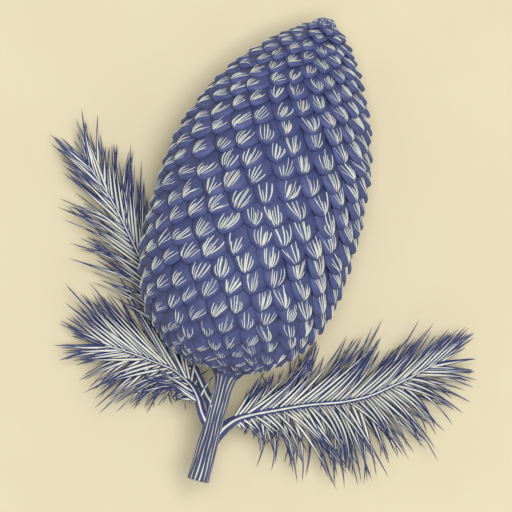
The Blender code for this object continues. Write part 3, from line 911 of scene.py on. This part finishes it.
def ramp(tree, source, stops):
    node = tree.nodes.new("ShaderNodeValToRGB")
    elements = node.color_ramp.elements
    while len(elements) < len(stops):
        elements.new(0.5)
    for element, (position, colour) in zip(elements, stops):
        element.position = position
        element.color = (*colour, 1)
    tree.links.new(source, node.inputs["Fac"])
    return node.outputs["Color"]


def noise(tree, scale, detail=4.0, stretch=(1, 1, 1)):
    """Noise on the piece's own coordinates, in metres, so scale is in cells a metre."""
    place = tree.nodes.new("ShaderNodeTexCoord")
    mapping = tree.nodes.new("ShaderNodeMapping")
    mapping.inputs["Scale"].default_value = stretch
    tree.links.new(place.outputs["Object"], mapping.inputs["Vector"])
    node = tree.nodes.new("ShaderNodeTexNoise")
    node.inputs["Scale"].default_value = scale
    node.inputs["Detail"].default_value = detail
    tree.links.new(mapping.outputs["Vector"], node.inputs["Vector"])
    return node.outputs["Fac"]


def mix(tree, share, first, second, blend="MIX"):
    node = tree.nodes.new("ShaderNodeMix")
    node.data_type = "RGBA"
    node.blend_type = blend
    for value, key in ((share, "Factor"), (first, "A"), (second, "B")):
        socket = [s for s in node.inputs if s.name == key and s.enabled][0]
        if isinstance(value, bpy.types.NodeSocket):
            tree.links.new(value, socket)
        else:
            socket.default_value = value if key == "Factor" else (*value, 1)
    return [s for s in node.outputs if s.enabled][0]


def bump(tree, shader, height, strength, distance):
    node = tree.nodes.new("ShaderNodeBump")
    node.inputs["Strength"].default_value = strength
    node.inputs["Distance"].default_value = distance
    tree.links.new(height, node.inputs["Height"])
    tree.links.new(node.outputs["Normal"], shader.inputs["Normal"])


def tone(tree):
    node = tree.nodes.new("ShaderNodeAttribute")
    node.attribute_name = "tone"
    return node.outputs["Fac"]


def scale_material():
    """Violet-blue with painted shade: darker towards the hidden root and underside of each scale,
    darkest on the core, and mottled.
    """
    material, tree, shader = new_material("scale_skin", roughness=0.62)
    body = ramp(tree, tone(tree), ((0.0, (0.027, 0.036, 0.1)), (0.45, (0.06, 0.076, 0.2)),
                                   (0.8, (0.08, 0.098, 0.248)), (1.0, (0.092, 0.11, 0.27))))
    mottle = noise(tree, scale=260)
    patches = ramp(tree, mottle, ((0.3, (0.75, 0.75, 0.8)), (0.7, (1.12, 1.12, 1.12))))
    tree.links.new(mix(tree, 1.0, body, patches, "MULTIPLY"), shader.inputs["Base Color"])
    bump(tree, shader, noise(tree, scale=1500, detail=6), strength=0.35, distance=0.3 * MM)
    return material


def fibre_material():
    """Pale cream, weathered to a cooler tone in places."""
    material, tree, shader = new_material("fibre_skin", roughness=0.7)
    weathering = noise(tree, scale=420)
    colour = ramp(tree, weathering, ((0.25, (0.58, 0.66, 0.62)), (0.5, (0.78, 0.82, 0.72)),
                                     (0.8, (0.94, 0.9, 0.76))))
    tree.links.new(colour, shader.inputs["Base Color"])
    bump(tree, shader, noise(tree, scale=2600, detail=5), strength=0.3, distance=0.2 * MM)
    return material


def needle_material():
    """Blue needles with a pale line; the twig is the same blue with pale bark lines."""
    material, tree, shader = new_material("needle_skin", roughness=0.5)
    shades = noise(tree, scale=180)
    blue = ramp(tree, shades, ((0.3, (0.05, 0.066, 0.2)), (0.7, (0.078, 0.098, 0.28))))
    wax = noise(tree, scale=300)
    pale = ramp(tree, wax, ((0.3, (0.72, 0.74, 0.6)), (0.7, (0.95, 0.92, 0.72))))
    tree.links.new(mix(tree, tone(tree), blue, pale), shader.inputs["Base Color"])
    bump(tree, shader, noise(tree, scale=2200, detail=5), strength=0.2, distance=0.2 * MM)
    return material


def bark_material():
    """Dark blue bark with pale crests along its ridges."""
    material, tree, shader = new_material("bark_skin", roughness=0.8)
    grain = noise(tree, scale=300, detail=6, stretch=(1, 0.3, 1))
    groove = ramp(tree, grain, ((0.3, (0.045, 0.055, 0.13)), (0.7, (0.085, 0.1, 0.21))))
    crest = ramp(tree, grain, ((0.3, (0.5, 0.52, 0.42)), (0.7, (0.86, 0.82, 0.62))))
    share = ramp(tree, tone(tree), ((0.76, (0, 0, 0)), (0.86, (1, 1, 1))))
    tree.links.new(mix(tree, share, groove, crest), shader.inputs["Base Color"])
    bump(tree, shader, grain, strength=0.5, distance=0.5 * MM)
    return material


def wood_material():
    """The cut face: pale wood with darker rings and pith."""
    material, tree, shader = new_material("cut_wood_skin", roughness=0.75)
    rings = ramp(tree, tone(tree), ((0.0, (0.22, 0.2, 0.2)), (0.5, (0.5, 0.45, 0.34)),
                                    (1.0, (0.8, 0.72, 0.52))))
    pores = noise(tree, scale=900)
    spots = ramp(tree, pores, ((0.35, (0.82, 0.82, 0.82)), (0.65, (1.05, 1.05, 1.05))))
    tree.links.new(mix(tree, 1.0, rings, spots, "MULTIPLY"), shader.inputs["Base Color"])
    bump(tree, shader, noise(tree, scale=3000, detail=4), strength=0.3, distance=0.2 * MM)
    return material


def floor_material():
    """Cream paper with faint changes of tone and hardly any shine."""
    material, tree, shader = new_material("floor_skin", roughness=0.9)
    shader.inputs["Specular IOR Level"].default_value = 0.1
    clouds = noise(tree, scale=25, detail=3)
    paper = ramp(tree, clouds, ((0.35, (0.777, 0.69, 0.473)), (0.65, (0.8, 0.714, 0.49))))
    tree.links.new(paper, shader.inputs["Base Color"])
    return material


# The stage

def build_stage():
    """The floor, the soft light all round and the key light overhead."""
    bpy.ops.mesh.primitive_plane_add(size=FLOOR_SIZE, location=(0, 0, FLOOR_HEIGHT))
    floor = bpy.context.active_object
    floor.name = "floor"
    floor.data.materials.append(floor_material())
    world = bpy.data.worlds.new("studio")
    world.use_nodes = True
    background = world.node_tree.nodes["Background"]
    background.inputs["Color"].default_value = SKY_COLOUR
    background.inputs["Strength"].default_value = SKY_STRENGTH
    bpy.context.scene.world = world
    add_light("key", KEY_PLACE, KEY_SIZE, KEY_POWER)
    bpy.context.scene.view_settings.view_transform = "Standard"


def add_light(name, place, size, power):
    light = bpy.data.lights.new(name, "AREA")
    light.shape = "SQUARE"
    light.size = size
    light.energy = power
    lamp = bpy.data.objects.new(name, light)
    lamp.location = place
    lamp.rotation_euler = (-Vector(place)).to_track_quat("-Z", "Y").to_euler()
    bpy.context.scene.collection.objects.link(lamp)


def build_camera():
    """Straight above, with the photograph's middle in the middle of the frame."""
    data = bpy.data.cameras.new("camera")
    data.lens = LENS
    data.sensor_width = SENSOR
    data.sensor_fit = "HORIZONTAL"
    camera = bpy.data.objects.new("camera", data)
    width = PIXELS * MM_PER_PIXEL * MM
    height = width * LENS / SENSOR + CONE_BASE[2]
    data.clip_end = CAMERA_REACH
    middle = (PIXELS / 2 - PHOTO_MIDDLE[0]) * MM_PER_PIXEL * MM + MIDDLE_SHIFT[0]
    upward = (PHOTO_MIDDLE[1] - PIXELS / 2) * MM_PER_PIXEL * MM + MIDDLE_SHIFT[1]
    camera.location = (middle, upward, height)
    bpy.context.scene.collection.objects.link(camera)
    bpy.context.scene.camera = camera


def main():
    build_camera()
    build_stage()
    scales, fibres = build_cone(scale_material(), fibre_material())
    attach(scales, "root")
    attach(fibres, "root")
    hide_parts("cone")
    stem, cut = build_stem(bark_material(), wood_material())
    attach(stem, "root")
    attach(cut, "root")
    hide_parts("stem")
    skin = needle_material()
    for spray in SPRAYS:
        piece = build_spray(spray, skin)
        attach(piece, "root")
        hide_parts(spray.name)


main()
